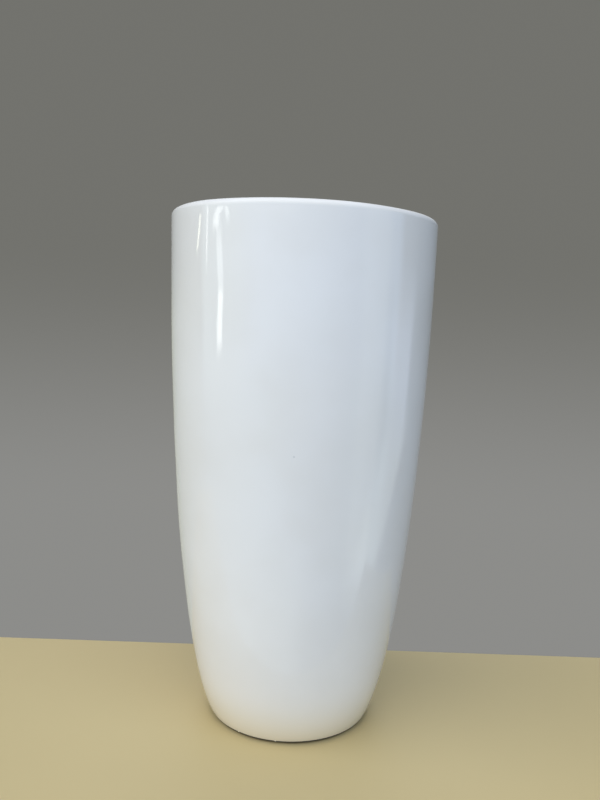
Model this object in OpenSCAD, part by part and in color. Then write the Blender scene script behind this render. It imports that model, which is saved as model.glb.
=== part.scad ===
// Tall round floor planter.
// A thin moulded shell with a rolled rim and a ring foot stands on four pads,
// and a rubber bung closes the drain hole in the middle of its floor.
// The origin is the centre of the ground under the pads, and +Z is up.

/* [Shell] */
// Height of the shell, from its foot to the top of its rim
shell_h = 700; // [450:1:1000]
// Diameter of the wall at the top of the rim, before its edge is rounded
rim_d = 366; // [330:1:420]
// Diameter of the foot, before its edge is rounded
foot_d = 226; // [210:1:260]
// How far the wall's curve reaches outwards as it leaves the foot
foot_flare = 28; // [15:1:40]
// How far the wall's curve climbs as it leaves the foot
foot_climb = 40; // [25:1:90]
// How far down the wall runs nearly straight from the rim
rim_straight = 440; // [200:1:450]
// How far that straight stretch leans inwards
rim_lean = 4; // [0:0.5:12]
// Thickness of the moulded wall
wall_t = 4.5; // [3:0.1:6]

/* [Rim] */
// Width of the rim, from its outside to the mouth
rim_w = 24; // [20:0.5:40]
// Depth of the turned-down lip, from the top of the rim
lip_h = 25; // [15:0.5:40]
// Radius of the rim's outer edge
rim_edge_r = 8; // [6.5:0.1:10]
// Radius of the rim's inner edge, round the mouth
mouth_edge_r = 6.5; // [6.5:0.1:8]
// Radius of the trimmed end of the lip
lip_end_r = 1.2; // [0.3:0.1:1.4]

/* [Foot and floor] */
// Width of the ring that the shell stands on
foot_w = 28; // [26:1:36]
// Radius of the edges on both sides of that ring
foot_edge_r = 3; // [1:0.5:4]
// Height of the hollow inside the ring, under the floor
recess_h = 10; // [10:0.5:20]
// Radius of the corner at the top of that hollow
recess_r = 4; // [1:0.5:5]
// Thickness of the floor
floor_t = 5; // [4:0.5:8]
// Radius between the floor and the inside of the wall
bowl_r = 25; // [10:1:35]
// Diameter of the dish in the middle of the floor
dish_d = 120; // [90:1:126]
// How far the dish falls towards the drain
dish_fall = 3; // [1:0.5:4]

/* [Drain] */
// Diameter of the drain hole
drain_d = 25; // [15:0.5:30]
// Diameter of the flat seat round the drain hole
seat_d = 54; // [48:1:70]
// Diameter of the bung's head
head_d = 40; // [36:1:46]
// Thickness of the bung's head
head_t = 4; // [3:0.5:6]
// Radius of the edge of the bung's head
head_edge_r = 1.5; // [0.5:0.1:1.5]
// Height of the bevel round the stem's tip, which helps it into the hole
stem_bevel = 1.5; // [0.5:0.1:2]
// How far the bung's stem reaches below the floor
stem_below = 4; // [2:0.5:5]
// How much narrower the stem is at its tip, across its diameter
stem_taper = 3; // [1:0.5:5]
// Space between the stem and the drain hole, all round
stem_gap = 0.1; // [0.05:0.05:0.5]
// Diameter of the bung's pull ring, over its outside
ring_d = 24; // [18:0.5:26]
// Thickness of the pull ring
ring_t = 4; // [3:0.5:5]
// How deep the pull ring's foot is sunk in the head
ring_sunk = 2; // [1.5:0.1:2.5]

/* [Pads] */
// Diameter of each pad under the foot
pad_d = 18; // [12:0.5:20]
// Thickness of each pad
pad_h = 2.5; // [1.5:0.1:5]
// Radius of each pad's lower edge
pad_edge_r = 0.8; // [0.3:0.1:1.2]

/* [Hidden] */
$fa = 2;
$fs = 0.5;

wall_steps = 36; // straight pieces along the wall's curve
arc_steps = 8; // straight pieces round an edge or a corner
cut = 1; // how far a cutting shape runs past the face that it cuts

foot_z = pad_h; // the ring that rests on the pads
rim_z = foot_z + shell_h; // the top of the rim
ceiling_z = foot_z + recess_h; // the underside of the floor, outside the dish
floor_z = ceiling_z + floor_t; // the floor, outside the dish
seat_z = floor_z - dish_fall; // the floor round the drain hole
foot_in_r = foot_d / 2 - foot_w; // the inside of the ring
mouth_r = rim_d / 2 - rim_w; // the opening between the lips
lip_z = rim_z - lip_h; // the lower end of the lip
pad_place_r = foot_d / 2 - foot_w / 2; // the pads' distance from the middle

// The outside of the wall is one cubic curve, given by its two ends and their two handles.
wall_curve = [
    [foot_d / 2, foot_z],
    [foot_d / 2 + foot_flare, foot_z + foot_climb],
    [rim_d / 2 - rim_lean, rim_z - rim_straight],
    [rim_d / 2, rim_z]
];

// A point on the outside of the wall, with t from 0 at the foot to 1 at the rim
function wall_outside(t) =
    pow(1 - t, 3) * wall_curve[0]
    + 3 * pow(1 - t, 2) * t * wall_curve[1]
    + 3 * (1 - t) * t * t * wall_curve[2]
    + pow(t, 3) * wall_curve[3];

// The direction in which the outside of the wall faces, as an angle above the horizontal
function wall_facing(t) =
    let (along =
        pow(1 - t, 2) * (wall_curve[1] - wall_curve[0])
        + 2 * (1 - t) * t * (wall_curve[2] - wall_curve[1])
        + t * t * (wall_curve[3] - wall_curve[2]))
    atan2(-along[0], along[1]);

// A point at a depth under the outside of the wall
function wall_under(t, depth) =
    wall_outside(t) - depth * [cos(wall_facing(t)), sin(wall_facing(t))];

// Where along the wall the curve at that depth comes up to height z, found by halving
function wall_reach(z, depth, low = 0, high = 1, halvings = 30) =
    let (middle = (low + high) / 2)
    halvings == 0 ? middle
    : wall_under(middle, depth)[1] < z
        ? wall_reach(z, depth, middle, high, halvings - 1)
        : wall_reach(z, depth, low, middle, halvings - 1);

// Points round a corner
function arc(centre, r, from, to) = [
    for (i = [0 : arc_steps])
        let (a = from + (to - from) * i / arc_steps)
        centre + r * [cos(a), sin(a)]
];

// One face of the wall, at a depth: it leaves the level low in a rounded corner,
// follows the curve, and ends in a rounded corner under the level high.
function wall_face(depth, low, low_r, high, high_r) =
    let (
        start = wall_reach(low + low_r, depth + low_r),
        end = wall_reach(high - high_r, depth + high_r)
    )
    concat(
        arc(wall_under(start, depth + low_r), low_r, -90, wall_facing(start)),
        [
            for (i = [1 : wall_steps - 1])
                wall_under(start + (end - start) * i / wall_steps, depth)
        ],
        arc(wall_under(end, depth + high_r), high_r, wall_facing(end), 90)
    );

// Half of the shell's outline, filled, as if it were a solid plug
module shell_outline() {
    polygon(concat(
        [[0, foot_z]],
        wall_face(0, foot_z, foot_edge_r, rim_z, rim_edge_r),
        [[0, rim_z]]
    ));
}

// Half of the space inside: the dished floor, the wall, the groove behind the lip, and the mouth
module planting_space() {
    groove_r = mouth_edge_r - wall_t;
    polygon(concat(
        [[0, seat_z], [seat_d / 2, seat_z], [dish_d / 2, floor_z]],
        wall_face(wall_t, floor_z, bowl_r, rim_z - wall_t, rim_edge_r - wall_t),
        arc([mouth_r + wall_t + groove_r, rim_z - wall_t - groove_r], groove_r, 90, 180),
        arc([mouth_r + wall_t - lip_end_r, lip_z + lip_end_r], lip_end_r, 0, -90),
        arc([mouth_r + lip_end_r, lip_z + lip_end_r], lip_end_r, -90, -180),
        arc([mouth_r + mouth_edge_r, rim_z - mouth_edge_r], mouth_edge_r, 180, 90),
        [[mouth_r + mouth_edge_r, rim_z + cut], [0, rim_z + cut]]
    ));
}

// Half of the hollow under the floor, inside the ring foot
module foot_recess() {
    polygon(concat(
        [[0, foot_z - cut], [foot_in_r + foot_edge_r, foot_z - cut]],
        arc([foot_in_r + foot_edge_r, foot_z + foot_edge_r], foot_edge_r, 270, 180),
        arc([foot_in_r - recess_r, ceiling_z - recess_r], recess_r, 0, 90),
        [[dish_d / 2, ceiling_z], [seat_d / 2, ceiling_z - dish_fall], [0, ceiling_z - dish_fall]]
    ));
}

module pot_shell() {
    color([0.93, 0.94, 0.94])
    difference() {
        rotate_extrude() difference() {
            shell_outline();
            planting_space();
            foot_recess();
        }
        translate([0, 0, foot_z]) cylinder(d = drain_d, h = floor_z - foot_z + cut);
    }
}

// A tapered stem under a round head, which lies on the seat round the drain hole
module bung_body() {
    stem_r = drain_d / 2 - stem_gap;
    tip_r = stem_r - stem_taper / 2;
    tip_z = seat_z - floor_t - stem_below;
    head_r = head_d / 2;
    head_z = seat_z + head_t;
    rotate_extrude() polygon(concat(
        [[0, tip_z], [tip_r - stem_bevel, tip_z], [tip_r, tip_z + stem_bevel]],
        [[stem_r, seat_z], [head_r, seat_z]],
        arc([head_r - head_edge_r, head_z - head_edge_r], head_edge_r, 0, 90),
        [[0, head_z]]
    ));
}

// The ring that the bung is pulled out by, standing on its head
module pull_ring() {
    translate([0, 0, seat_z + head_t + ring_d / 2 - ring_sunk])
    rotate([90, 0, 0])
    rotate_extrude() translate([(ring_d - ring_t) / 2, 0]) circle(d = ring_t);
}

module drain_bung() {
    color([0.16, 0.16, 0.17]) {
        bung_body();
        pull_ring();
    }
}

// A round pad with a softened lower edge, stuck under the ring foot on one side
module foot_pad(side) {
    color([0.12, 0.12, 0.12])
    rotate([0, 0, side])
    translate([pad_place_r, 0, 0])
    rotate_extrude() polygon(concat(
        [[0, 0]],
        arc([pad_d / 2 - pad_edge_r, pad_edge_r], pad_edge_r, -90, 0),
        [[pad_d / 2, pad_h], [0, pad_h]]
    ));
}

pot_shell();
drain_bung();
foot_pad(-90);  // foot_pad_front
foot_pad(0);  // foot_pad_right
foot_pad(90);  // foot_pad_back
foot_pad(180);  // foot_pad_left
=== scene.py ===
"""Looks of a tall round floor planter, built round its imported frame.

The planter is one white moulding of glass-fibre laminate: a tapered wall with a rolled rim and a
turned-down lip, a dished floor with a drain hole, and a ring foot. Its outside is lacquered and glossy,
its inside is flow-coated laminate. A rubber bung closes the drain hole, and four rubber pads carry the
foot.

Lengths are in metres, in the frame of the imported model: +Z is up, and the camera looks along +Y.
"""

from __future__ import annotations

import functools
import logging
import math
from dataclasses import dataclass
from enum import Enum
from typing import Any, Iterable, Sequence

import bpy
import numpy as np
from mathutils import Matrix, Vector

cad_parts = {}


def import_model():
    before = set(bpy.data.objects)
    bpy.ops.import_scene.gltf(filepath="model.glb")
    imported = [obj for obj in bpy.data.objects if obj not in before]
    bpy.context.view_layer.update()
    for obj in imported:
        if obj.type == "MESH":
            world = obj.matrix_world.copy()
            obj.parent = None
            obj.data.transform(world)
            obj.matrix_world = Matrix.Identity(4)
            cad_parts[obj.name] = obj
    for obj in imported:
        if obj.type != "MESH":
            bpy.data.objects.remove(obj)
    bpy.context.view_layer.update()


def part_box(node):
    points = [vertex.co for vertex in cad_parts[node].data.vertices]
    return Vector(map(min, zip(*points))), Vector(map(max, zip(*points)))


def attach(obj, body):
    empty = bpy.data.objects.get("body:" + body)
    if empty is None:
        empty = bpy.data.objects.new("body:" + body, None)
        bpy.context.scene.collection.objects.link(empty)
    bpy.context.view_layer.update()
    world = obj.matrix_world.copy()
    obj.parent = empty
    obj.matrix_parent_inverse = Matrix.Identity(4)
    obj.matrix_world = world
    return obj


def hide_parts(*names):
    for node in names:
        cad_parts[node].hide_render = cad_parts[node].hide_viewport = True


LOG = logging.getLogger("planter")
MM = 0.001
Colour = tuple[float, float, float]
Band = tuple[float, float]
LACQUER_WHITE: Colour = (0.79, 0.785, 0.765)


class Finish(Enum):
    """The finishes of the shell, by the number of their material slot."""

    LACQUER = 0
    LAMINATE = 1
    BARE = 2
    # The black coat; round the foot's outer edge it is partly painted shade of the gap under the foot.
    SEALER_AND_SHADE = 3


class Side(Enum):
    """The sides that a foot pad stands on, by the direction of each from the middle, in degrees."""

    FRONT = -90.0
    RIGHT = 0.0
    BACK = 90.0
    LEFT = 180.0


class Signal:
    """A number in a node tree, held by its output socket, so that shader maths reads as Python."""

    def __init__(self, graph: Graph, socket: bpy.types.NodeSocket) -> None:
        """Keeps the tree that the socket is in, and the socket."""
        self.graph = graph
        self.socket = socket

    def _math(self, operation: str, first: Any, second: Any = 0.0) -> Signal:
        """Adds one Math node.

        Args:
            operation: the node's operation.
            first: its first operand, a signal or a number.
            second: its second operand, a signal or a number.

        Returns:
            The node's result.
        """
        return self.graph.signal("ShaderNodeMath", {"operation": operation}, {0: first, 1: second})

    def __add__(self, other: Any) -> Signal:
        """Adds a signal or a number."""
        return self._math("ADD", self, other)

    def __radd__(self, other: Any) -> Signal:
        """Adds this signal to a number."""
        return self._math("ADD", other, self)

    def __sub__(self, other: Any) -> Signal:
        """Takes a signal or a number away."""
        return self._math("SUBTRACT", self, other)

    def __rsub__(self, other: Any) -> Signal:
        """Takes this signal away from a number."""
        return self._math("SUBTRACT", other, self)

    def __mul__(self, other: Any) -> Signal:
        """Multiplies by a signal or a number."""
        return self._math("MULTIPLY", self, other)

    def __rmul__(self, other: Any) -> Signal:
        """Multiplies a number by this signal."""
        return self._math("MULTIPLY", other, self)

    def __truediv__(self, other: Any) -> Signal:
        """Divides by a signal or a number."""
        return self._math("DIVIDE", self, other)

    def __rtruediv__(self, other: Any) -> Signal:
        """Divides a number by this signal."""
        return self._math("DIVIDE", other, self)

    def __pow__(self, other: Any) -> Signal:
        """Raises to a power."""
        return self._math("POWER", self, other)

    def __abs__(self) -> Signal:
        """Drops the sign."""
        return self._math("ABSOLUTE", self)

    def arctan2(self, other: Signal) -> Signal:
        """The angle, in radians, of the direction (other, self)."""
        return self._math("ARCTAN2", self, other)

    def larger_of(self, other: Any) -> Signal:
        """The larger of this signal and another."""
        return self._math("MAXIMUM", self, other)

    def turned_back(self) -> Signal:
        """The same angle between -180 and 180 degrees."""
        return self.graph.signal("ShaderNodeMath", {"operation": "WRAP"}, {0: self, 1: 180.0, 2: -180.0})

    def rise(self, low: float, high: float) -> Signal:
        """A soft step.

        Args:
            low: where it is 0.
            high: where it is 1. It may be below low, and then the step falls.

        Returns:
            The step, from 0 to 1.
        """
        return self.graph.signal(
            "ShaderNodeMapRange",
            {"interpolation_type": "SMOOTHSTEP"},
            {"Value": self, "From Min": low, "From Max": high},
        )


class Graph:
    """The node tree of a material or of the world, started empty."""

    def __init__(self, owner: bpy.types.Material | bpy.types.World) -> None:
        """Empties the owner's tree and keeps it.

        Args:
            owner: the material or the world.
        """
        owner.use_nodes = True
        self.tree = owner.node_tree
        self.tree.nodes.clear()

    def node(
        self,
        kind: str,
        settings: dict[str, Any] | None = None,
        inputs: dict[str | int, Any] | None = None,
    ) -> bpy.types.Node:
        """Adds a node.

        Args:
            kind: the node's type.
            settings: its settings, which are made first.
            inputs: what goes into its sockets, by name or number: a value, a signal or an output socket.

        Returns:
            The node.
        """
        made = self.tree.nodes.new(kind)
        for name, value in (settings or {}).items():
            setattr(made, name, value)
        for name, value in (inputs or {}).items():
            if isinstance(name, int):
                socket = made.inputs[name]
            else:
                socket = next(s for s in made.inputs if s.enabled and s.name == name)
            if isinstance(value, Signal):
                self.tree.links.new(value.socket, socket)
            elif isinstance(value, bpy.types.NodeSocket):
                self.tree.links.new(value, socket)
            else:
                socket.default_value = value
        return made

    def signal(
        self,
        kind: str,
        settings: dict[str, Any] | None = None,
        inputs: dict[str | int, Any] | None = None,
        output: str | int = 0,
    ) -> Signal:
        """Adds a node that gives a number.

        Args:
            kind: the node's type.
            settings: its settings.
            inputs: what goes into its sockets.
            output: the name or number of the socket that holds the number.

        Returns:
            The number.
        """
        return Signal(self, self.node(kind, settings, inputs).outputs[output])

    def mix(self, factor: Any, first: Any, second: Any, blend: str = "MIX") -> bpy.types.NodeSocket:
        """Mixes two colours.

        Args:
            factor: how much of the second shows.
            first: the first colour, an RGB value or a socket.
            second: the second colour, an RGB value or a socket.
            blend: how they mix.

        Returns:
            The mixed colour's socket.
        """
        ends = [(*c, 1.0) if isinstance(c, tuple) else c for c in (first, second)]
        made = self.node(
            "ShaderNodeMix",
            {"data_type": "RGBA", "blend_type": blend},
            {"Factor": factor, "A": ends[0], "B": ends[1]},
        )
        return next(s for s in made.outputs if s.enabled)

    @functools.cached_property
    def place(self) -> bpy.types.NodeSocket:
        """The place of a point in its own piece, in metres."""
        return self.node("ShaderNodeTexCoord").outputs["Object"]

    def axes(self, vector: bpy.types.NodeSocket) -> tuple[Signal, Signal, Signal]:
        """Splits a vector.

        Args:
            vector: the vector's socket.

        Returns:
            Its x, y and z.
        """
        split = self.node("ShaderNodeSeparateXYZ", inputs={"Vector": vector})
        x, y, z = (Signal(self, part) for part in split.outputs)
        return x, y, z

    def distance(self, centre: Vector) -> Signal:
        """How far the place lies from a fixed point."""
        inputs = {0: self.place, 1: centre}
        return self.signal("ShaderNodeVectorMath", {"operation": "DISTANCE"}, inputs, output="Value")

    def noise(
        self, grain: float, detail: float, seed: float, vector: bpy.types.NodeSocket | None = None
    ) -> Signal:
        """Cloudy noise of a real size.

        Args:
            grain: the size of its patches, in metres.
            detail: how many finer layers it has.
            seed: which noise it is.
            vector: where it is read, if that isn't the place itself.

        Returns:
            The noise, about 0.5 on average.
        """
        where = self.place if vector is None else vector
        inputs = {"Vector": where, "W": seed, "Scale": 1.0 / grain, "Detail": detail}
        return self.signal("ShaderNodeTexNoise", {"noise_dimensions": "4D"}, inputs)

    def bump(self, height: Signal, distance: float) -> bpy.types.NodeSocket:
        """Turns a height into a normal.

        Args:
            height: the height, in units of distance.
            distance: the real height of one unit, in metres.

        Returns:
            The normal's socket.
        """
        inputs = {"Strength": 1.0, "Distance": distance, "Height": height}
        return self.node("ShaderNodeBump", inputs=inputs).outputs["Normal"]

    def surface(
        self,
        colour: bpy.types.NodeSocket,
        roughness: Any,
        normal: bpy.types.NodeSocket | None = None,
        ior: float = 1.5,
    ) -> None:
        """Ends a material with its shader.

        Args:
            colour: its base colour.
            roughness: its roughness.
            normal: its normal, if it has a relief.
            ior: its index of refraction.
        """
        inputs = {"Base Color": colour, "Roughness": roughness, "IOR": ior}
        if normal is not None:
            inputs["Normal"] = normal
        shader = self.node("ShaderNodeBsdfPrincipled", inputs=inputs)
        self.node("ShaderNodeOutputMaterial", inputs={"Surface": shader.outputs[0]})


class Coating:
    """A finish, which builds its material."""

    name: str

    def build(self) -> bpy.types.Material:
        """Builds the finish.

        Returns:
            Its material.
        """
        material = bpy.data.materials.new(self.name)
        self.paint(Graph(material))
        return material

    def paint(self, graph: Graph) -> None:
        """Mixes the finish from its parts.

        Args:
            graph: the material's graph.
        """
        raise NotImplementedError


@dataclass(frozen=True)
class Blemish:
    """A small mark in the lacquer, at a place on the wall. The height of a pit is negative."""

    place: Vector
    radius: float
    tone: Colour
    height: float


@dataclass(frozen=True)
class GlossLacquer(Coating):
    """White lacquer, sprayed and polished, with a faint orange peel, and painted shade and warm bounce
    light from the board towards the foot.
    """

    name: str = "gloss_white_lacquer"
    white: Colour = LACQUER_WHITE
    worn_white: Colour = (0.765, 0.755, 0.725)
    worn_band: Band = (0.35, 0.7)
    patch: float = 0.11
    roughness: float = 0.05
    haze: float = 0.035
    haze_band: Band = (0.45, 0.8)
    peel_grain: float = 2.6 * MM
    peel_height: float = 0.0035 * MM
    sag_grain: float = 14 * MM
    sag_height: float = 0.011 * MM
    scuffed: Colour = (0.52, 0.49, 0.43)
    scuff_grain: float = 3 * MM
    scuff_band: Band = (0.52, 0.7)
    scuff_reach: float = 5 * MM
    scuff_cover: float = 0.5
    scuff_haze: float = 0.25
    # Painted shade and bounce light: towards the foot the white is mixed into a warmer, darker colour. It
    # stands in for the board's warm bounce light and the shade where the wall meets the board.
    painted_foot_shade: Colour = (0.70, 0.655, 0.54)
    painted_shade_reach: float = 95 * MM
    painted_shade_onset: float = 0.4
    foot_z: float = 2.5 * MM
    blemishes: tuple[Blemish, ...] = ()
    blemish_core: float = 0.25

    def paint(self, graph: Graph) -> None:
        """Mixes the white with its worn patches, the painted shade and warm bounce light towards the foot,
        the scuffs at the foot and the blemishes.

        Args:
            graph: the material's graph.
        """
        height = graph.axes(graph.place)[2]
        worn = graph.noise(self.patch, detail=3.0, seed=1.0).rise(*self.worn_band)
        hazy = graph.noise(self.patch / 4, detail=5.0, seed=2.0).rise(*self.haze_band)
        scuffs = graph.noise(self.scuff_grain, detail=3.0, seed=3.0).rise(*self.scuff_band)
        scuff = height.rise(self.foot_z + self.scuff_reach, self.foot_z) * scuffs
        # Painted shade: the white is darker and warmer towards the foot, as bounce light off the board and
        # shade at the foot.
        painted_foot_shade = height.rise(self.foot_z + self.painted_shade_reach, self.foot_z)
        colour = graph.mix(worn, self.white, self.worn_white)
        colour = graph.mix(painted_foot_shade * (self.painted_shade_onset + painted_foot_shade * (1 - self.painted_shade_onset)), colour, self.painted_foot_shade)
        colour = graph.mix(scuff * self.scuff_cover, colour, self.scuffed)
        roughness = self.roughness + self.haze * hazy + self.scuff_haze * scuff
        peel = graph.noise(self.peel_grain, detail=1.0, seed=4.0)
        sag = graph.noise(self.sag_grain, detail=1.0, seed=5.0)
        relief = peel * (self.peel_height / MM) + sag * (self.sag_height / MM)
        for mark in self.blemishes:
            spot = graph.distance(mark.place).rise(mark.radius, mark.radius * self.blemish_core)
            colour = graph.mix(spot, colour, mark.tone)
            relief = relief + spot * (mark.height / MM)
        graph.surface(colour, roughness, graph.bump(relief, MM))


@dataclass(frozen=True)
class StrandLaminate(Coating):
    """Chopped glass strands under a flow coat, with overspray from the lacquer near the lip."""

    name: str
    coat: Colour = (0.70, 0.70, 0.67)
    thin_coat: Colour = (0.60, 0.61, 0.57)
    coat_band: Band = (0.3, 0.7)
    coat_grain: float = 30 * MM
    coat_height: float = 0.15 * MM
    strand: Colour = (0.66, 0.68, 0.63)
    strand_band: Band = (0.57, 0.66)
    strand_cover: float = 0.6
    strand_length: float = 42 * MM
    strand_width: float = 2.2 * MM
    strand_height: float = 0.12 * MM
    overspray: Colour = LACQUER_WHITE
    spray_from: float = 0.55
    spray_to: float = 0.66
    spray_wander: float = 160 * MM
    spray_scatter: float = 50 * MM
    spray_grain: float = 1.2 * MM
    spray_height: float = 0.03 * MM
    dust: Colour = (0.47, 0.42, 0.34)
    dust_grain: float = 16 * MM
    dust_band: Band = (0.42, 0.75)
    dust_reach: float = 30 * MM
    dust_cover: float = 0.45
    floor_z: float = 17.5 * MM
    roughness: float = 0.42
    coat_gloss: float = 0.14
    spray_haze: float = 0.18
    dust_haze: float = 0.25

    def paint(self, graph: Graph) -> None:
        """Mixes the flow coat with the strands under it, the overspray and the dust on the floor.

        Args:
            graph: the material's graph.
        """
        height = graph.axes(graph.place)[2]
        strands = self._strands(graph)
        flow = graph.noise(self.coat_grain, detail=4.0, seed=11.0)
        speckle = graph.noise(self.spray_grain, detail=2.0, seed=12.0)
        spray_edge = height + (flow - 0.5) * self.spray_wander + (speckle - 0.5) * self.spray_scatter
        spray = spray_edge.rise(self.spray_from, self.spray_to)
        dusting = graph.noise(self.dust_grain, detail=5.0, seed=13.0).rise(*self.dust_band)
        settled = height.rise(self.floor_z + self.dust_reach, self.floor_z) * dusting
        colour = graph.mix(flow.rise(*self.coat_band), self.thin_coat, self.coat)
        colour = graph.mix(strands * self.strand_cover, colour, self.strand)
        colour = graph.mix(spray, colour, self.overspray)
        colour = graph.mix(settled * self.dust_cover, colour, self.dust)
        roughness = self.roughness - self.coat_gloss * flow
        roughness = roughness + self.spray_haze * speckle * spray + self.dust_haze * settled
        relief = strands * self.strand_height / MM + flow * self.coat_height / MM
        relief = relief + speckle * spray * (self.spray_height / MM)
        graph.surface(colour, roughness, graph.bump(relief, MM), ior=1.52)

    def _strands(self, graph: Graph) -> Signal:
        """Lays strands in the six directions through the corners of an icosahedron, which favours no way.

        Args:
            graph: the material's graph.

        Returns:
            1 on a strand and 0 between them.
        """
        golden = (1 + math.sqrt(5)) / 2
        corners = [
            Vector(corner)
            for sign in (1, -1)
            for corner in ((0, 1, sign * golden), (1, sign * golden, 0), (golden, 0, sign))
        ]
        size = (self.strand_length, self.strand_width, self.strand_width)
        layers = []
        for number, corner in enumerate(corners):
            turn = corner.to_track_quat("X", "Z").to_euler()
            inputs = {"Vector": graph.place, "Rotation": turn, "Scale": size}
            along = graph.node("ShaderNodeMapping", {"vector_type": "TEXTURE"}, inputs).outputs[0]
            layer = graph.noise(1.0, detail=0.5, seed=20.0 + number, vector=along)
            layers.append(layer.rise(*self.strand_band))
        return functools.reduce(Signal.larger_of, layers)


@dataclass(frozen=True)
class BlackSealerAndShade(Coating):
    """Black sealing coat, brushed on the ring that the shell stands on, and rubbed through underneath.
    Round the foot's outer edge and up the wall's lowest few millimetres it is partly painted shade, which
    darkens the line over the gap under the foot.

    A drip is a drop of lacquer that ran over the coat's edge. Each is given by its direction from the
    middle, in degrees: 0 is towards the front, and a positive one is to the right.
    """

    name: str = "black_sealer_and_painted_shade"
    black: Colour = (0.018, 0.017, 0.016)
    faded: Colour = (0.035, 0.033, 0.03)
    faded_band: Band = (0.35, 0.7)
    streak_length: float = 24 * MM
    streak_width: float = 1.6 * MM
    ring_r: float = 100 * MM
    coat_height: float = 0.06 * MM
    rubbed: Colour = (0.16, 0.145, 0.12)
    rubbed_grain: float = 5 * MM
    rubbed_band: Band = (0.58, 0.72)
    rubbed_heights: Band = (3.2 * MM, 2.5 * MM)
    rubbed_cover: float = 0.7
    roughness: float = 0.55
    haze: float = 0.15
    lacquer: Colour = LACQUER_WHITE
    drips: tuple[float, ...] = (-35.0, -7.7)
    drip_r: float = 1.6 * MM
    drip_core: float = 0.6
    edge_r: float = 114.7 * MM
    edge_z: float = 5.0 * MM

    def paint(self, graph: Graph) -> None:
        """Mixes the black with its brush streaks, what is rubbed through, and the drips.

        Args:
            graph: the material's graph.
        """
        x, y, z = graph.axes(graph.place)
        along = graph.node(
            "ShaderNodeCombineXYZ",
            inputs={
                "X": y.arctan2(x) * (self.ring_r / self.streak_length),
                "Y": (x * x + y * y) ** 0.5 / self.streak_width,
                "Z": z / self.streak_width,
            },
        ).outputs[0]
        brushed = graph.noise(1.0, detail=2.0, seed=51.0, vector=along)
        worn = graph.noise(self.rubbed_grain, detail=5.0, seed=52.0)
        rubbed = worn.rise(*self.rubbed_band) * z.rise(*self.rubbed_heights)
        colour = graph.mix(brushed.rise(*self.faded_band), self.black, self.faded)
        colour = graph.mix(rubbed * self.rubbed_cover, colour, self.rubbed)
        for drip in self.drips:
            turn = math.radians(drip)
            centre = Vector((self.edge_r * math.sin(turn), -self.edge_r * math.cos(turn), self.edge_z))
            drop = graph.distance(centre).rise(self.drip_r, self.drip_r * self.drip_core)
            colour = graph.mix(drop, colour, self.lacquer)
        roughness = self.roughness + self.haze * brushed + self.haze * rubbed
        graph.surface(colour, roughness, graph.bump(brushed, self.coat_height))


@dataclass(frozen=True)
class MouldedRubber(Coating):
    """Black rubber as it leaves the mould, a little dusty."""

    name: str
    black: Colour = (0.028, 0.028, 0.03)
    bloom: Colour = (0.085, 0.083, 0.08)
    bloom_band: Band = (0.35, 0.7)
    cloud_grain: float = 9 * MM
    dust: Colour = (0.22, 0.20, 0.165)
    dust_grain: float = 1.4 * MM
    dust_clouds: Band = (0.45, 0.75)
    dust_specks: Band = (0.4, 0.7)
    dusty: float = 0.3
    roughness: float = 0.5
    bloom_haze: float = 0.15
    dust_haze: float = 0.2
    grain: float = 0.5 * MM
    grain_height: float = 0.02 * MM

    def paint(self, graph: Graph) -> None:
        """Mixes the black with its bloom and its dust.

        Args:
            graph: the material's graph.
        """
        clouds = graph.noise(self.cloud_grain, detail=4.0, seed=31.0)
        specks = graph.noise(self.dust_grain, detail=3.0, seed=32.0)
        grain = graph.noise(self.grain, detail=2.0, seed=33.0)
        dust = clouds.rise(*self.dust_clouds) * specks.rise(*self.dust_specks) * self.dusty
        colour = graph.mix(clouds.rise(*self.bloom_band), self.black, self.bloom)
        colour = graph.mix(dust, colour, self.dust)
        roughness = self.roughness + self.bloom_haze * clouds + self.dust_haze * dust
        graph.surface(colour, roughness, graph.bump(grain, self.grain_height), ior=1.52)


@dataclass(frozen=True)
class PlainBoard(Coating):
    """The plain pale board that the planter stands on."""

    name: str = "plain_board"
    colour: Colour = (0.53, 0.43, 0.215)
    shade: Colour = (0.505, 0.408, 0.203)
    cloud_grain: float = 0.25
    roughness: float = 0.55

    def paint(self, graph: Graph) -> None:
        """Mixes the board's two tones.

        Args:
            graph: the material's graph.
        """
        clouds = graph.noise(self.cloud_grain, detail=3.0, seed=41.0)
        graph.surface(graph.mix(clouds, self.colour, self.shade), self.roughness)


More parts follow.
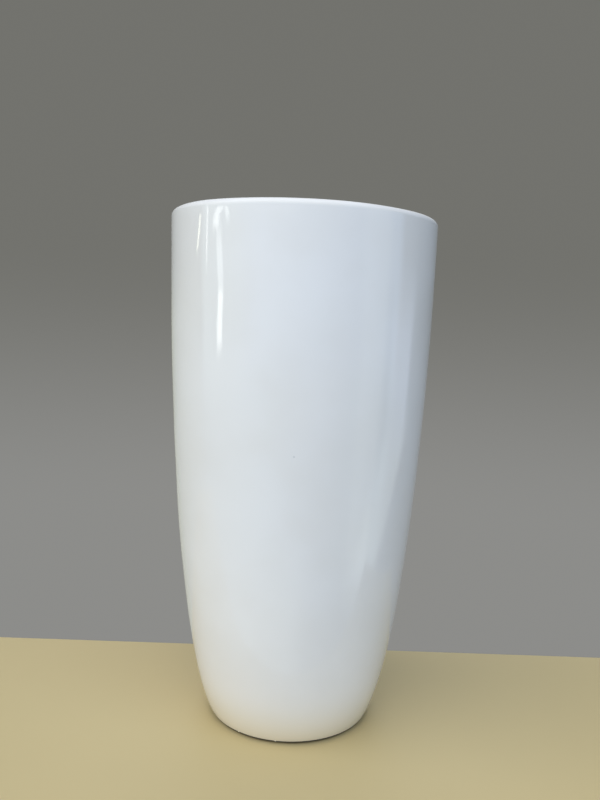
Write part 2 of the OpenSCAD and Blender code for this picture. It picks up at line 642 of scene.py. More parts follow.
@dataclass(frozen=True)
class WallCurve:
    """The outside of the wall: one cubic curve in the half plane of radius and height."""

    foot_r: float = 113 * MM
    foot_flare: float = 28 * MM
    foot_climb: float = 40 * MM
    rim_r: float = 183 * MM
    rim_straight: float = 440 * MM
    rim_lean: float = 4 * MM
    foot_z: float = 2.5 * MM
    rim_z: float = 702.5 * MM
    halvings: int = 40

    def handles(self) -> np.ndarray:
        """The curve's two ends with their two handles between them, one to a row."""
        flare = (self.foot_r + self.foot_flare, self.foot_z + self.foot_climb)
        lean = (self.rim_r - self.rim_lean, self.rim_z - self.rim_straight)
        return np.array([(self.foot_r, self.foot_z), flare, lean, (self.rim_r, self.rim_z)])

    def facing(self, t: float) -> float:
        """The way the outside faces.

        Args:
            t: how far along the curve, from 0 at the foot to 1 at the rim.

        Returns:
            The angle above the horizontal, in degrees.
        """
        p = self.handles()
        along = (1 - t) ** 2 * (p[1] - p[0]) + 2 * (1 - t) * t * (p[2] - p[1]) + t * t * (p[3] - p[2])
        return math.degrees(math.atan2(-along[0], along[1]))

    def under(self, t: float, depth: float) -> np.ndarray:
        """A point under the outside.

        Args:
            t: how far along the curve, from 0 to 1.
            depth: how deep it lies in the wall.

        Returns:
            Its radius and height.
        """
        p = self.handles()
        outside = (
            (1 - t) ** 3 * p[0] + 3 * (1 - t) ** 2 * t * p[1] + 3 * (1 - t) * t * t * p[2] + t**3 * p[3]
        )
        angle = math.radians(self.facing(t))
        return outside - depth * np.array((math.cos(angle), math.sin(angle)))

    def reach(self, z: float, depth: float) -> float:
        """Where the curve at a depth comes up to a height, found by halving.

        Args:
            z: the height.
            depth: how deep the curve lies in the wall.

        Returns:
            How far along the curve it is, from 0 to 1.
        """
        low, high = 0.0, 1.0
        for _ in range(self.halvings):
            middle = (low + high) / 2
            if self.under(middle, depth)[1] < z:
                low = middle
            else:
                high = middle
        return low

    def stretch(self, depth: float, start: float, end: float, step: float) -> list[np.ndarray]:
        """The points of a stretch of the wall.

        Args:
            depth: how deep in the wall it runs.
            start: how far along the curve it starts.
            end: how far along the curve it ends.
            step: about how far apart the points are in height.

        Returns:
            Each point's radius and height.
        """
        rows = math.ceil(abs(self.under(end, depth)[1] - self.under(start, depth)[1]) / step)
        return [self.under(start + (end - start) * i / rows, depth) for i in range(rows + 1)]

    def radius(self, z: float) -> float:
        """The outside radius at a height."""
        return float(self.under(self.reach(z, 0.0), 0.0)[0])


def arc(
    centre: Sequence[float], radius: float, start: float, end: float, step: float
) -> list[tuple[float, float]]:
    """The points of a round stretch.

    Args:
        centre: its centre.
        radius: its radius.
        start: the angle that it starts at, in degrees.
        end: the angle that it ends at, in degrees.
        step: about how far apart the points are.

    Returns:
        Each point's radius and height.
    """
    count = max(5, math.ceil(math.radians(abs(end - start)) * radius / step))
    angles = [math.radians(start + (end - start) * i / count) for i in range(count + 1)]
    return [(centre[0] + radius * math.cos(a), centre[1] + radius * math.sin(a)) for a in angles]


class Outline:
    """An outline in the half plane of radius and height, walked with the solid on its left.

    Each stretch has its finish, where the piece has more than one, and its ripple, which is how much of
    the surface's unevenness it takes, from 0 to 1. Two points that are nearer than nearest count as one.
    """

    nearest = 0.02 * MM

    def __init__(self) -> None:
        """Starts with no points."""
        self.points: list[np.ndarray] = []
        self.finishes: list[Finish] = []
        self.ripple: list[float] = []

    def add(
        self, points: Iterable[Sequence[float]], finish: Finish = Finish.LACQUER, ripple: float = 0.0
    ) -> None:
        """Adds a stretch, and leaves out a point that repeats the last.

        Args:
            points: each point's radius and height.
            finish: the finish of what leads to them.
            ripple: their share of the unevenness.
        """
        for point in points:
            here = np.array(point, float)
            if self.points and np.linalg.norm(here - self.points[-1]) < self.nearest:
                continue
            self.points.append(here)
            self.finishes.append(finish)
            self.ripple.append(ripple)

    def line(
        self, end: Sequence[float], step: float, finish: Finish = Finish.LACQUER, ripple: float = 0.0
    ) -> None:
        """Adds a straight stretch from the last point.

        Args:
            end: where it ends.
            step: about how far apart its points are.
            finish: its finish.
            ripple: its share of the unevenness.
        """
        start = self.points[-1]
        way = np.array(end) - start
        count = max(1, math.ceil(np.linalg.norm(way) / step))
        self.add([start + way * i / count for i in range(1, count + 1)], finish, ripple)


@dataclass(frozen=True)
class Unevenness:
    """Gentle waves over a surface: a sum of plane waves with seeded directions, lengths and phases."""

    seed: int
    count: int
    shortest: float
    longest: float
    height: float

    def over(self, rings: np.ndarray, share: np.ndarray) -> np.ndarray:
        """The height of the waves over a turned form.

        Args:
            rings: the form's rings.
            share: how much of the waves each ring takes, from 0 to 1.

        Returns:
            How far each point lies above the mean surface.
        """
        places = rings.reshape(-1, 3)
        draw = np.random.default_rng(self.seed)
        total = np.zeros(len(places))
        for _ in range(self.count):
            way = draw.normal(size=3)
            length = math.exp(draw.uniform(math.log(self.shortest), math.log(self.longest)))
            phase = draw.uniform(0, 2 * math.pi)
            swell = length / self.longest
            total += swell * np.cos(places @ (way / np.linalg.norm(way)) * 2 * math.pi / length + phase)
        height = total * self.height / math.sqrt(self.count / 2)
        return height.reshape(rings.shape[:2]) * share[:, None]


def clamped(value: float) -> float:
    """The value, kept between 0 and 1."""
    return min(1.0, max(0.0, value))


def eased(share: float) -> float:
    """A soft step over a share from 0 to 1."""
    return share * share * (3 - 2 * share)


def lathe(name: str, rings: np.ndarray, closed: bool) -> bpy.types.Mesh:
    """Makes a mesh from the rings of a turned form.

    Args:
        name: the mesh's name.
        rings: the points, by ring, then by place round the ring, then x, y and z.
        closed: whether the last ring joins the first. If not, both ends are closed with a fan.

    Returns:
        The mesh.
    """
    count, around = rings.shape[:2]
    points = [tuple(p) for p in rings.reshape(-1, 3)]
    faces: list[tuple[int, ...]] = []
    for i in range(count if closed else count - 1):
        above = (i + 1) % count
        for j in range(around):
            beside = (j + 1) % around
            low, high = i * around, above * around
            faces.append((low + j, low + beside, high + beside, high + j))
    if not closed:
        for ring, last in ((0, False), (count - 1, True)):
            points.append(tuple(rings[ring].mean(axis=0)))
            hub = len(points) - 1
            for j in range(around):
                edge = (ring * around + j, ring * around + (j + 1) % around)
                faces.append((hub, *edge) if last else (hub, *reversed(edge)))
    mesh = bpy.data.meshes.new(name)
    mesh.from_pydata(points, [], faces)
    mesh.validate()
    mesh.shade_smooth()
    return mesh


def turned(points: Sequence[Sequence[float]], around: int) -> np.ndarray:
    """Turns an outline about the Z axis.

    Args:
        points: each point's radius and height.
        around: how many points each ring has.

    Returns:
        The rings, as lathe takes them.
    """
    outline = np.array(points, float)
    angles = np.linspace(0, 2 * math.pi, around, endpoint=False)
    rings = np.zeros((len(outline), around, 3))
    rings[:, :, 0] = outline[:, :1] * np.cos(angles)
    rings[:, :, 1] = outline[:, :1] * np.sin(angles)
    rings[:, :, 2] = outline[:, 1:]
    return rings


def add_piece(
    name: str, mesh: bpy.types.Mesh, materials: Sequence[bpy.types.Material]
) -> bpy.types.Object:
    """Adds a mesh to the scene.

    Args:
        name: the piece's name.
        mesh: its mesh.
        materials: its materials, in the order of its slots.

    Returns:
        The piece.
    """
    piece = bpy.data.objects.new(name, mesh)
    for material in materials:
        mesh.materials.append(material)
    bpy.context.scene.collection.objects.link(piece)
    return piece


@dataclass
class PhotoCamera:
    """The camera, at the place and angle that the photograph was taken from."""

    image_width: int = 600
    image_height: int = 800
    focal_pixels: float = 747.5
    sensor: float = 36.0
    distance: float = 1.0583
    height: float = 0.5557
    pitch: float = 5.68
    roll: float = 2.014
    yaw: float = 0.098
    find_step: float = 0.25 * MM

    def axes(self) -> tuple[Vector, Vector, Vector]:
        """The way the camera is held.

        Returns:
            Its right, up and forward directions.
        """
        pitch, roll, yaw = (math.radians(a) for a in (self.pitch, self.roll, self.yaw))
        reach = math.cos(pitch)
        forward = Vector((math.sin(yaw) * reach, math.cos(yaw) * reach, -math.sin(pitch)))
        level = Vector((math.cos(yaw), -math.sin(yaw), 0))
        upright = level.cross(forward)
        right = math.cos(roll) * level + math.sin(roll) * upright
        up = math.cos(roll) * upright - math.sin(roll) * level
        return right, up, forward

    def find(self, pixel: tuple[float, float], wall: WallCurve) -> Vector:
        """Finds the point of the wall that a pixel of the photograph shows.

        Args:
            pixel: the pixel, from the top left corner of the 600 by 800 frame.
            wall: the wall's curve.

        Returns:
            The point.
        """
        right, up, forward = self.axes()
        across = (pixel[0] - self.image_width / 2) / self.focal_pixels
        upwards = (self.image_height / 2 - pixel[1]) / self.focal_pixels
        ray = (forward + across * right + upwards * up).normalized()
        # The walk along the ray starts in front of the wall, one and a half radii before its axis.
        point = Vector((0, -self.distance, self.height)) + ray * (self.distance - 1.5 * wall.rim_r)
        while point.xy.length > wall.radius(point.z) and point.y < 0:
            point += ray * self.find_step
        return point

    def build(self) -> None:
        """Makes the camera and gives it to the scene."""
        lens = bpy.data.cameras.new("camera")
        lens.sensor_width = self.sensor
        lens.lens = self.focal_pixels * self.sensor / self.image_height
        camera = bpy.data.objects.new("camera", lens)
        right, up, forward = self.axes()
        turn = Matrix((right, up, -forward)).transposed().to_4x4()
        camera.matrix_world = Matrix.Translation((0, -self.distance, self.height)) @ turn
        bpy.context.scene.collection.objects.link(camera)
        bpy.context.scene.camera = camera


@dataclass(frozen=True)
class SoftPanel:
    """A soft light panel far away: where it lies round the planter, and its light.

    An azimuth of 0 is towards the camera, and a positive one is to the right. The fades are the widths
    over which its left, right and level edges fade. The lean is how far it turns to the right for each
    degree that it rises, and mirrored is the light that a glossy finish shows of it, where that differs.
    """

    azimuth: Band
    elevation: Band
    fades: tuple[float, float, float]
    light: Colour
    lean: float = 0.0
    mirrored: Colour | None = None

    def mask(self, azimuth: Signal, elevation: Signal) -> Signal:
        """Where the panel shines.

        Args:
            azimuth: the azimuth of a direction, in degrees.
            elevation: its elevation, in degrees.

        Returns:
            1 on the panel and 0 beside it.
        """
        middle, half = sum(self.azimuth) / 2, (self.azimuth[1] - self.azimuth[0]) / 2
        level, tall = sum(self.elevation) / 2, (self.elevation[1] - self.elevation[0]) / 2
        left, right, upright = (fade / 2 for fade in self.fades)
        above = elevation - level
        aside = (azimuth - middle - above * self.lean).turned_back()
        across = aside.rise(-half - left, -half + left) * aside.rise(half + right, half - right)
        return across * abs(above).rise(tall + upright, tall - upright)


@dataclass
class Studio:
    """The board that the planter stands on, the plain backdrop, and the light."""

    board_front: float = -0.256
    board_back: float = 0.194
    board_left: float = -1.2
    board_right: float = 0.62
    board_thick: float = 0.03
    board_edge: float = 4 * MM
    board_edge_rows: int = 3
    backdrop_high: Colour = (0.17, 0.17, 0.155)
    backdrop_low: Colour = (0.265, 0.265, 0.255)
    backdrop_fade: Band = (6.0, -14.0)
    panels: tuple[SoftPanel, ...] = (
        # Overhead, from the left round to the right.
        SoftPanel((-96, 28), (15, 62), (20, 44, 12), (2.27, 2.33, 2.50), mirrored=(0.75, 0.75, 0.72)),
        SoftPanel((-96, 100), (62, 100), (20, 20, 12), (1.10, 1.14, 1.22), mirrored=(0.35, 0.36, 0.38)),
        SoftPanel((28, 70), (15, 62), (44, 20, 12), (1.05, 1.38, 1.95), mirrored=(0.30, 0.36, 0.42)),
        # Level with the wall, in front.
        SoftPanel((-92, -50), (-7, 18), (8, 30, 12), (0.50, 0.54, 0.48), mirrored=(0.90, 1.12, 1.19)),
        SoftPanel((-50, 50), (-7, 20), (30, 36, 12), (0.44, 0.48, 0.50), mirrored=(0.75, 1.02, 1.56)),
        SoftPanel((50, 88), (-7, 20), (36, 8, 12), (0.40, 0.46, 0.48), mirrored=(0.80, 1.08, 1.56)),
        # Lower down, which the lower half of the wall mirrors.
        SoftPanel((-92, -16), (-28, -7), (8, 30, 12), (0.12, 0.22, 0.26)),
        SoftPanel((40, 90), (-28, -7), (30, 10, 12), (0.22, 0.32, 0.42), mirrored=(0.36, 0.46, 0.46)),
        SoftPanel((52, 76), (-30, 20), (10, 8, 12), (0.0, 0.0, 0.0), mirrored=(0.55, 0.55, 0.48)),
        SoftPanel((-92, 8), (-62, -28), (8, 30, 12), (0.58, 0.66, 0.68)),
        # The lighter band near the wall's right edge, which slants at its lower end.
        SoftPanel((86, 110), (-11, 1), (10, 8, 8), (0.36, 0.45, 0.60), mirrored=(0.90, 1.02, 1.30)),
        SoftPanel(
            (72, 97.5), (-30, -11), (14, 7, 8), (0.30, 0.36, 0.45), lean=1.7, mirrored=(0.86, 0.94, 0.92)
        ),
        # The wall's left edge, and the light from behind.
        SoftPanel((-180, -96), (-28, 2), (30, 8, 8), (0.16, 0.18, 0.12)),
        SoftPanel((155, 205), (14, 42), (24, 24, 10), (1.80, 1.90, 2.00), mirrored=(0.45, 0.47, 0.50)),
        SoftPanel((100, 264), (62, 100), (20, 20, 12), (0.80, 0.84, 0.90), mirrored=(0.45, 0.48, 0.52)),
        # Narrow lights, whose streaks stand at the upper left of the wall.
        SoftPanel((-97.8, -96.0), (4.4, 7.2), (0.5, 0.5, 0.6), (6.5, 6.6, 5.2), lean=1.42),
        SoftPanel((-87.0, -86.0), (3.4, 9.0), (0.5, 0.5, 3.0), (6.0, 6.1, 5.9)),
        SoftPanel((-77.6, -71.9), (5.9, 9.0), (0.7, 0.7, 0.5), (4.4, 4.5, 4.4), lean=1.7),
        SoftPanel((-75.0, -69.6), (0.8, 5.8), (0.8, 0.8, 3.0), (2.8, 2.9, 2.9), lean=-0.57),
        SoftPanel((-75.0, -69.6), (-5.6, 0.8), (0.8, 0.8, 1.2), (5.4, 5.5, 5.3), lean=0.35),
        SoftPanel((-67.8, -64.6), (6.4, 9.0), (1.2, 1.2, 0.8), (3.6, 3.8, 3.6), lean=-0.57),
        # A faint wide patch beside them.
        SoftPanel((-42, -6), (6.4, 10), (12, 12, 2.0), (0.45, 0.45, 0.40)),
    )

    def build(self) -> None:
        """Makes the board and the surround."""
        self._build_board()
        self._build_surround()
        bpy.context.scene.view_settings.view_transform = "Standard"

    def _build_board(self) -> None:
        """Makes the board, with its edges eased."""
        low = Vector((self.board_left, self.board_front, -self.board_thick))
        high = Vector((self.board_right, self.board_back, 0.0))
        corners = [(x, y, z) for z in (low.z, high.z) for y in (low.y, high.y) for x in (low.x, high.x)]
        mesh = bpy.data.meshes.new("board")
        faces = [(0, 2, 3, 1), (4, 5, 7, 6), (0, 1, 5, 4), (2, 6, 7, 3), (0, 4, 6, 2), (1, 3, 7, 5)]
        mesh.from_pydata(corners, [], faces)
        board = add_piece("board", mesh, [PlainBoard().build()])
        easing = board.modifiers.new("eased_edges", "BEVEL")
        easing.width = self.board_edge
        easing.segments = self.board_edge_rows

    def _build_surround(self) -> None:
        """Makes the world: a plain backdrop, and soft panels that light the planter but aren't seen."""
        world = bpy.data.worlds.new("studio")
        bpy.context.scene.world = world
        graph = Graph(world)
        right, back, up = graph.axes(graph.node("ShaderNodeTexCoord").outputs["Generated"])
        azimuth = right.arctan2(0.0 - back) * (180 / math.pi)
        elevation = graph.signal("ShaderNodeMath", {"operation": "ARCSINE"}, {0: up}) * (180 / math.pi)
        paths = graph.node("ShaderNodeLightPath")
        sighted, passed, mirrored = (
            Signal(graph, paths.outputs[f"Is {kind} Ray"]) for kind in ("Camera", "Transmission", "Glossy")
        )
        straight = sighted.larger_of(passed)
        shown = straight.larger_of(mirrored)
        colour = graph.mix(elevation.rise(*self.backdrop_fade), self.backdrop_high, self.backdrop_low)
        colour = graph.mix(shown, (0.0, 0.0, 0.0), colour)
        for panel in self.panels:
            mask = panel.mask(azimuth, elevation) * (1.0 - straight)
            light = graph.mix(mirrored, panel.light, panel.mirrored) if panel.mirrored else panel.light
            colour = graph.mix(mask, colour, light, blend="ADD")
        glow = graph.node("ShaderNodeBackground", inputs={"Color": colour, "Strength": 1.0})
        graph.node("ShaderNodeOutputWorld", inputs={"Surface": glow.outputs[0]})


@dataclass
class PlanterShell:
    """The one moulding: wall, rolled rim with its lip, dished floor with the drain hole, and ring foot."""

    wall: WallCurve
    wall_thick: float = 4.5 * MM
    rim_edge: float = 8 * MM
    rim_width: float = 24 * MM
    mouth_edge: float = 6.5 * MM
    lip_depth: float = 25 * MM
    lip_end: float = 1.2 * MM
    foot_width: float = 28 * MM
    foot_edge: float = 3 * MM
    # How high the black band reaches up the wall; the band is partly painted shade of the gap under the
    # foot.
    black_band_height: float = 3 * MM
    recess_height: float = 10 * MM
    recess_corner: float = 4 * MM
    floor_thick: float = 5 * MM
    bowl: float = 25 * MM
    dish_r: float = 60 * MM
    dish_fall: float = 3 * MM
    dish_step: float = 2.5 * MM
    seat_r: float = 27 * MM
    drain_r: float = 12.5 * MM
    drain_edge: float = 0.6 * MM
    around: int = 216
    coarse: float = 6 * MM
    fine: float = 0.8 * MM
    rim_tilt: float = 2.14 / 175  # millimetres down for each millimetre to the right, at the rim
    tilt_from: float = 502.5 * MM
    calm_reach: float = 20 * MM
    trim_reach: float = 4 * MM
    waves: Unevenness = Unevenness(seed=7, count=36, shortest=0.07, longest=0.26, height=0.33 * MM)
    lumps: Unevenness = Unevenness(seed=11, count=60, shortest=0.018, longest=0.06, height=0.45 * MM)
    trimming: Unevenness = Unevenness(seed=13, count=30, shortest=0.008, longest=0.05, height=0.35 * MM)

    def outline(self) -> Outline:
        """Draws the shell's section, from the foot's outer edge up the wall and round to there again.

        Returns:
            The outline.
        """
        wall, thick = self.wall, self.wall_thick
        coarse, fine = self.coarse, self.fine
        lacquer, laminate, sealer_and_shade = Finish.LACQUER, Finish.LAMINATE, Finish.SEALER_AND_SHADE
        rim_z, foot_z = wall.rim_z, wall.foot_z
        start = wall.reach(foot_z + self.foot_edge, self.foot_edge)
        black_band_top = wall.reach(foot_z + self.black_band_height, 0.0)
        end = wall.reach(rim_z - self.rim_edge, self.rim_edge)
        shape = Outline()

        # Outside: the foot's edge and the lowest band of the wall in black, partly painted shade of the
        # gap under the foot, then the wall, the rim's outer edge and the rim.
        mouth_r = wall.rim_r - self.rim_width
        edge_r, edge_z = mouth_r + self.mouth_edge, rim_z - self.mouth_edge
        foot, rim = wall.under(start, self.foot_edge), wall.under(end, self.rim_edge)
        shape.add(arc(foot, self.foot_edge, -90, wall.facing(start), fine), sealer_and_shade)
        shape.add(wall.stretch(0.0, start, black_band_top, fine), sealer_and_shade)
        shape.add(wall.stretch(0.0, black_band_top, end, coarse), lacquer, 1.0)
        shape.add(arc(rim, self.rim_edge, wall.facing(end), 90, fine), lacquer, 1.0)
        shape.line((edge_r, rim_z), 2 * MM, lacquer, 1.0)

        # The lip: its edge round the mouth, its face, its trimmed end and the groove behind it.
        back_r, end_z = mouth_r + thick, rim_z - self.lip_depth + self.lip_end
        shape.add(arc((edge_r, edge_z), self.mouth_edge, 90, 180, fine), lacquer, 0.6)
        shape.line((mouth_r, end_z), 2 * MM, lacquer, 0.6)
        shape.add(arc((mouth_r + self.lip_end, end_z), self.lip_end, 180, 270, 0.4 * MM), lacquer, 0.3)
        shape.add(arc((back_r - self.lip_end, end_z), self.lip_end, 270, 360, 0.4 * MM), laminate, 0.3)
        shape.line((back_r, edge_z), 3 * MM, laminate, 0.3)
        shape.add(arc((edge_r, edge_z), self.mouth_edge - thick, 180, 90, 0.5 * MM), laminate, 0.3)

        # Inside: under the rim, down the wall, round the corner to the floor, and in to the drain.
        inner_r = self.rim_edge - thick
        top = wall.reach(rim_z - thick - inner_r, thick + inner_r)
        centre = wall.under(top, thick + inner_r)
        shape.line((centre[0], rim_z - thick), 2 * MM, laminate, 0.3)
        shape.add(arc(centre, inner_r, 90, wall.facing(top), fine), laminate, 0.5)
        ceiling_z = foot_z + self.recess_height
        floor_z = ceiling_z + self.floor_thick
        low = wall.reach(floor_z + self.bowl, thick + self.bowl)
        centre = wall.under(low, thick + self.bowl)
        shape.add(wall.stretch(thick, top, low, coarse), laminate, 1.0)
        shape.add(arc(centre, self.bowl, wall.facing(low), -90, 3 * MM), laminate, 0.8)
        shape.line((self.dish_r, floor_z), coarse, laminate, 0.6)
        drain_edge_r = self.drain_r + self.drain_edge
        self._add_dish(shape, floor_z, self.dish_r, drain_edge_r, laminate)

        # Down the drain hole, back under the floor and round the ring foot.
        self._add_bore(shape, floor_z - self.dish_fall)
        self._add_dish(shape, ceiling_z, drain_edge_r, self.dish_r, Finish.BARE)
        self._add_foot(shape, ceiling_z)
        return shape

    def _add_dish(self, shape: Outline, rim_z: float, start: float, end: float, finish: Finish) -> None:
        """Adds one face of the dish, whose slope eases in and out.

        Args:
            shape: the outline that it is added to.
            rim_z: the height of the floor's face round the dish.
            start: the radius that it starts at.
            end: the radius that it ends at.
            finish: its finish.
        """
        count = math.ceil(abs(end - start) / self.dish_step)
        for i in range(1, count + 1):
            radius = start + (end - start) * i / count
            share = clamped((radius - self.seat_r) / (self.dish_r - self.seat_r))
            fall = self.dish_fall * (1 - eased(share))
            shape.add([(radius, rim_z - fall)], finish, 0.5 * share)

    def _add_bore(self, shape: Outline, seat_z: float) -> None:
        """Adds the drain hole, from its seat down.

        Args:
            shape: the outline that it is added to.
            seat_z: the height of the seat.
        """
        edge, low_z = self.drain_edge, seat_z - self.floor_thick
        centre_r = self.drain_r + edge
        shape.add(arc((centre_r, seat_z - edge), edge, 90, 180, 0.2 * MM), Finish.LAMINATE)
        shape.line((self.drain_r, low_z + edge), 1 * MM, Finish.BARE)
        shape.add(arc((centre_r, low_z + edge), edge, 180, 270, 0.2 * MM), Finish.BARE)

    def _add_foot(self, shape: Outline, ceiling_z: float) -> None:
        """Adds the hollow under the floor and the ring that the shell stands on.

        Args:
            shape: the outline that it is added to.
            ceiling_z: the height of the hollow's top.
        """
        inner_r = self.wall.foot_r - self.foot_width
        foot_z, corner = self.wall.foot_z, self.recess_corner
        start = self.wall.reach(foot_z + self.foot_edge, self.foot_edge)
        bare, sealer_and_shade = Finish.BARE, Finish.SEALER_AND_SHADE
        shape.line((inner_r - corner, ceiling_z), 4 * MM, bare, 0.4)
        shape.add(arc((inner_r - corner, ceiling_z - corner), corner, 90, 0, self.fine), bare, 0.3)
        shape.line((inner_r, foot_z + self.foot_edge), 1.5 * MM, bare, 0.2)
        centre = (inner_r + self.foot_edge, foot_z + self.foot_edge)
        shape.add(arc(centre, self.foot_edge, 180, 270, self.fine), sealer_and_shade, 0.1)
        # The flat stops a little short of the outline's first point, which closes it.
        last = self.wall.under(start, self.foot_edge)[0] - 1 * MM
        shape.line((last, foot_z), 2.5 * MM, sealer_and_shade, 0.0)

    def rings(self, shape: Outline) -> np.ndarray:
        """Turns the section, then gives the moulding its unevenness and its slightly leaning rim.

        Args:
            shape: the section.

        Returns:
            The rings, as lathe takes them.
        """
        outline = np.array(shape.points)
        along = np.roll(outline, -1, axis=0) - np.roll(outline, 1, axis=0)
        facing = np.stack([along[:, 1], -along[:, 0]], axis=1)
        facing /= np.linalg.norm(facing, axis=1)[:, None]
        rings = turned(outline, self.around)
        spread = np.array(shape.ripple)
        lacquered = np.array([finish is Finish.LACQUER for finish in shape.finishes])
        above_black_band = outline[:, 1] - self.wall.foot_z - self.black_band_height
        off_foot = np.clip(above_black_band / self.calm_reach, 0, 1)
        raised = self.waves.over(rings, spread * off_foot * lacquered)
        raised = raised + self.lumps.over(rings, spread * ~lacquered)
        angles = np.linspace(0, 2 * math.pi, self.around, endpoint=False)
        rings[:, :, 0] += raised * facing[:, :1] * np.cos(angles)
        rings[:, :, 1] += raised * facing[:, :1] * np.sin(angles)
        rings[:, :, 2] += raised * facing[:, 1:]
        self._trim_lip(rings, outline)
        height = np.clip((rings[:, :, 2] - self.tilt_from) / (self.wall.rim_z - self.tilt_from), 0, 1)
        rings[:, :, 2] -= self.rim_tilt * rings[:, :, 0] * height**2
        return rings

    def _trim_lip(self, rings: np.ndarray, outline: np.ndarray) -> None:
        """Makes the cut end of the lip slightly uneven.

        Args:
            rings: the rings, which are changed.
            outline: the section.
        """
        lip_z = self.wall.rim_z - self.lip_depth
        back_r = self.wall.rim_r - self.rim_width + self.wall_thick
        slack = 0.1 * MM
        inside = outline[:, 0] < back_r + slack
        share = np.clip(1 - np.abs(outline[:, 1] - lip_z) / self.trim_reach, 0, 1) * inside
        rings[:, :, 2] += self.trimming.over(rings, share)

    def build(self, finishes: dict[Finish, bpy.types.Material]) -> bpy.types.Object:
        """Builds the shell in place of its node.

        Args:
            finishes: the material of each finish.

        Returns:
            The piece.
        """
        shape = self.outline()
        mesh = lathe("planter_shell", self.rings(shape), closed=True)
        piece = add_piece("planter_shell", mesh, [finishes[finish] for finish in Finish])
        numbers = np.roll([finish.value for finish in shape.finishes], -1)
        mesh.polygons.foreach_set("material_index", np.repeat(numbers, self.around).astype(np.int32))
        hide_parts("pot_shell")
        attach(piece, "pot")
        return piece


@dataclass
class DrainBung:
    """The rubber bung of the drain hole: a tapered stem with two ribs, a round head and a pull ring."""

    seat_z: float = 14.5 * MM
    tip_z: float = 5.5 * MM
    stem_r: float = 12.4 * MM
    tip_r: float = 10.9 * MM
    tip_bevel: float = 1.5 * MM
    rib: float = 0.45 * MM
    rib_width: float = 0.45 * MM
    rib_places: tuple[float, float] = (12.6 * MM, 10.6 * MM)
    stem_rows: int = 36
    head_r: float = 20 * MM
    head_thick: float = 4 * MM
    head_edge: float = 1.5 * MM
    head_under_edge: float = 0.4 * MM
    head_rows: int = 24
    dimple: float = 0.5 * MM
    dimple_slope: float = 3 * MM
    hub_r: float = 0.5 * MM
    ring_r: float = 10 * MM
    ring_thick: float = 4 * MM
    ring_z: float = 28.5 * MM
    ring_root: float = 1.1 * MM
    root_share: float = 0.45
    ring_turns: int = 72
    ring_sides: int = 24
    around: int = 96
    crease: float = 42.0

    def body_rings(self) -> np.ndarray:
        """Turns the stem and the head.

        Returns:
            The rings, as lathe takes them.
        """
        shape = Outline()
        shape.add([(self.hub_r, self.tip_z)])
        shape.line((self.tip_r - self.tip_bevel, self.tip_z), 1.5 * MM)
        shape.line((self.tip_r, self.tip_z + self.tip_bevel), 0.5 * MM)

        # The stem, with its ribs.
        low_z, narrow = self.tip_z + self.tip_bevel, self.stem_r - self.rib
        for i in range(1, self.stem_rows + 1):
            z = low_z + (self.seat_z - low_z) * i / self.stem_rows
            radius = self.tip_r + (narrow - self.tip_r) * i / self.stem_rows
            for place in self.rib_places:
                radius += self.rib * math.exp(-(((z - place) / self.rib_width) ** 2))
            shape.add([(radius, z)])

        # The head's underside and its edge.
        head_z, edge, under = self.seat_z + self.head_thick, self.head_edge, self.head_under_edge
        shape.line((self.head_r - under, self.seat_z), 1.5 * MM)
        shape.line((self.head_r, self.seat_z + under), 0.3 * MM)
        shape.add(arc((self.head_r - edge, head_z - edge), edge, 0, 90, 0.3 * MM))

        # The top of the head, which dips past its edge and swells again to the middle.
        start = self.head_r - edge
        for i in range(1, self.head_rows + 1):
            radius = start + (self.hub_r - start) * i / self.head_rows
            share = clamped((start - radius) / self.dimple_slope)
            swell = self.dimple * math.cos(math.pi / 2 * radius / start) * share
            sunk = self.dimple * eased(share)
            shape.add([(radius, head_z - sunk + swell)])
        return turned(shape.points, self.around)

    def ring_rings(self) -> np.ndarray:
        """Bends a round bar into the pull ring, thicker where it stands on the head.

        Returns:
            The rings round the bar, as lathe takes them.
        """
        rings = np.zeros((self.ring_turns, self.ring_sides, 3))
        for i in range(self.ring_turns):
            turn = 2 * math.pi * i / self.ring_turns
            low = max(0.0, self.root_share - 1 - math.cos(turn)) / self.root_share
            half = self.ring_thick / 2 + self.ring_root * low * low
            for j in range(self.ring_sides):
                angle = 2 * math.pi * j / self.ring_sides
                out = self.ring_r + half * math.cos(angle)
                high = self.ring_z + out * math.cos(turn)
                rings[i, j] = (out * math.sin(turn), half * math.sin(angle), high)
        return rings

    def build(self, rubber: MouldedRubber) -> bpy.types.Object:
        """Builds the bung in place of its node, with its ring and its body made one.

        Args:
            rubber: its finish.

        Returns:
            The piece.
        """
        material = rubber.build()
        piece = add_piece("rubber_bung", lathe("bung_body", self.body_rings(), closed=False), [material])
        ring = add_piece("bung_ring", lathe("bung_ring", self.ring_rings(), closed=True), [material])
        joined = piece.modifiers.new("joined", "BOOLEAN")
        joined.operation = "UNION"
        joined.object = ring
        joined.solver = "EXACT"
        bpy.context.view_layer.update()
        graph = bpy.context.evaluated_depsgraph_get()
        whole = bpy.data.meshes.new_from_object(piece.evaluated_get(graph))
        piece.modifiers.clear()
        piece.data = whole
        bpy.data.objects.remove(ring)
        whole.shade_smooth()
        whole.set_sharp_from_angle(angle=math.radians(self.crease))
        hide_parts("drain_bung")
        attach(piece, "bung")
        return piece


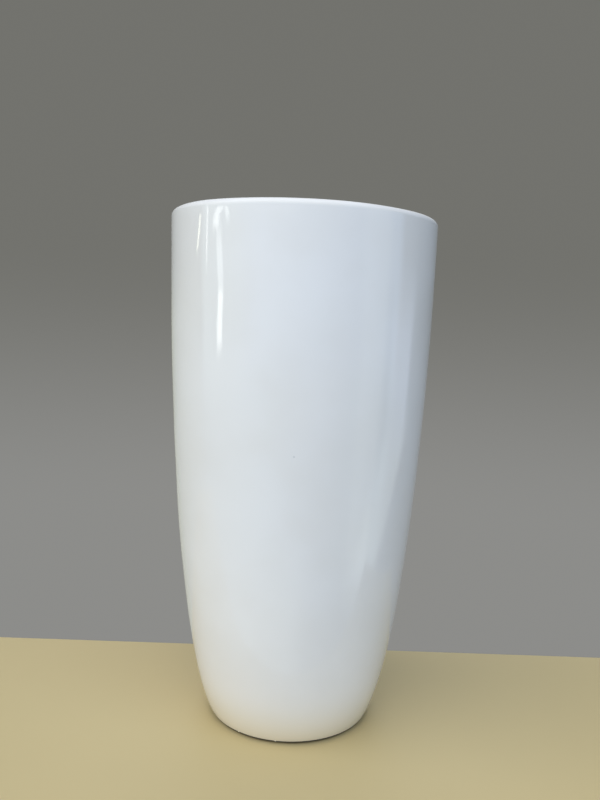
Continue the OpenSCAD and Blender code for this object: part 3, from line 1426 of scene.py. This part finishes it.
@dataclass
class FootPads:
    """Four round pads under the foot, each stuck on with a thin foam layer."""

    place_r: float = 99 * MM
    radius: float = 9 * MM
    height: float = 2.5 * MM
    edge: float = 0.8 * MM
    foam: float = 0.4 * MM
    foam_inset: float = 0.35 * MM
    top_edge: float = 0.3 * MM
    hub_r: float = 0.3 * MM
    flat_from: float = 1 * MM
    flat_rows: int = 24
    edge_step: float = 0.16 * MM
    groove_r: float = 5.6 * MM
    groove_width: float = 1.2 * MM
    groove_depth: float = 0.45 * MM
    around: int = 72
    crease: float = 50.0

    def rings(self) -> np.ndarray:
        """Turns the pad's section: an underside with a round groove, an eased edge, and the foam on top.

        Returns:
            The rings, as lathe takes them.
        """
        shape = Outline()
        shape.add([(self.hub_r, 0.0)])
        turn_r = self.radius - self.edge
        for i in range(self.flat_rows + 1):
            radius = self.flat_from + (turn_r - self.flat_from) * i / self.flat_rows
            away = (radius - self.groove_r) / self.groove_width
            shape.add([(radius, self.groove_depth * math.exp(-away * away))])
        shape.add(arc((turn_r, self.edge), self.edge, -90, 0, self.edge_step))
        top, foam_r = self.height - self.foam, self.radius - self.foam_inset
        shape.add([(self.radius, top - self.top_edge), (self.radius - self.top_edge, top), (foam_r, top)])
        shape.add([(foam_r, self.height), (self.radius / 2, self.height), (self.hub_r, self.height)])
        return turned(shape.points, self.around)

    def build(self, rubber: MouldedRubber) -> list[bpy.types.Object]:
        """Builds a pad on each side in place of its node.

        Args:
            rubber: their finish.

        Returns:
            The pads.
        """
        material = rubber.build()
        pads = []
        for side in Side:
            name = side.name.lower()
            turn = math.radians(side.value)
            place = np.array((self.place_r * math.cos(turn), self.place_r * math.sin(turn), 0.0))
            mesh = lathe(f"rubber_pad_{name}", self.rings() + place, closed=False)
            pad = add_piece(f"rubber_pad_{name}", mesh, [material])
            mesh.set_sharp_from_angle(angle=math.radians(self.crease))
            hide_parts(f"foot_pad_{name}")
            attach(pad, "pot")
            pads.append(pad)
        return pads


def main() -> None:
    """Builds the planter round its frame, and the studio that it is shown in."""
    logging.basicConfig(level=logging.INFO, format="%(name)s: %(message)s")
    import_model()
    low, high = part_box("pot_shell")
    wall = WallCurve(foot_z=low.z, rim_z=high.z)
    camera = PhotoCamera()
    camera.build()
    nib_pixel, pit_pixel = (308.0, 691.0), (294.0, 457.0)
    marks = (
        Blemish(camera.find(pit_pixel, wall), 1.6 * MM, (0.60, 0.61, 0.60), -0.02 * MM),
        Blemish(camera.find(nib_pixel, wall), 1.8 * MM, (0.80, 0.79, 0.76), 0.03 * MM),
    )
    bare = StrandLaminate(
        "bare_laminate",
        coat=(0.27, 0.26, 0.205),
        thin_coat=(0.21, 0.20, 0.155),
        strand=(0.36, 0.355, 0.30),
        overspray=(0.36, 0.355, 0.31),
    )
    finishes = {
        Finish.LACQUER: GlossLacquer(blemishes=marks).build(),
        Finish.LAMINATE: StrandLaminate("flow_coated_laminate").build(),
        Finish.BARE: bare.build(),
        # The black coat on the foot, partly painted shade round its outer edge.
        Finish.SEALER_AND_SHADE: BlackSealerAndShade().build(),
    }
    pieces = [
        PlanterShell(wall).build(finishes),
        DrainBung().build(MouldedRubber("bung_rubber")),
        *FootPads().build(MouldedRubber("pad_rubber", dusty=0.5)),
    ]
    for piece in pieces:
        LOG.info("%s: %d faces", piece.name, len(piece.data.polygons))
    Studio().build()


if __name__ == "__main__":
    main()
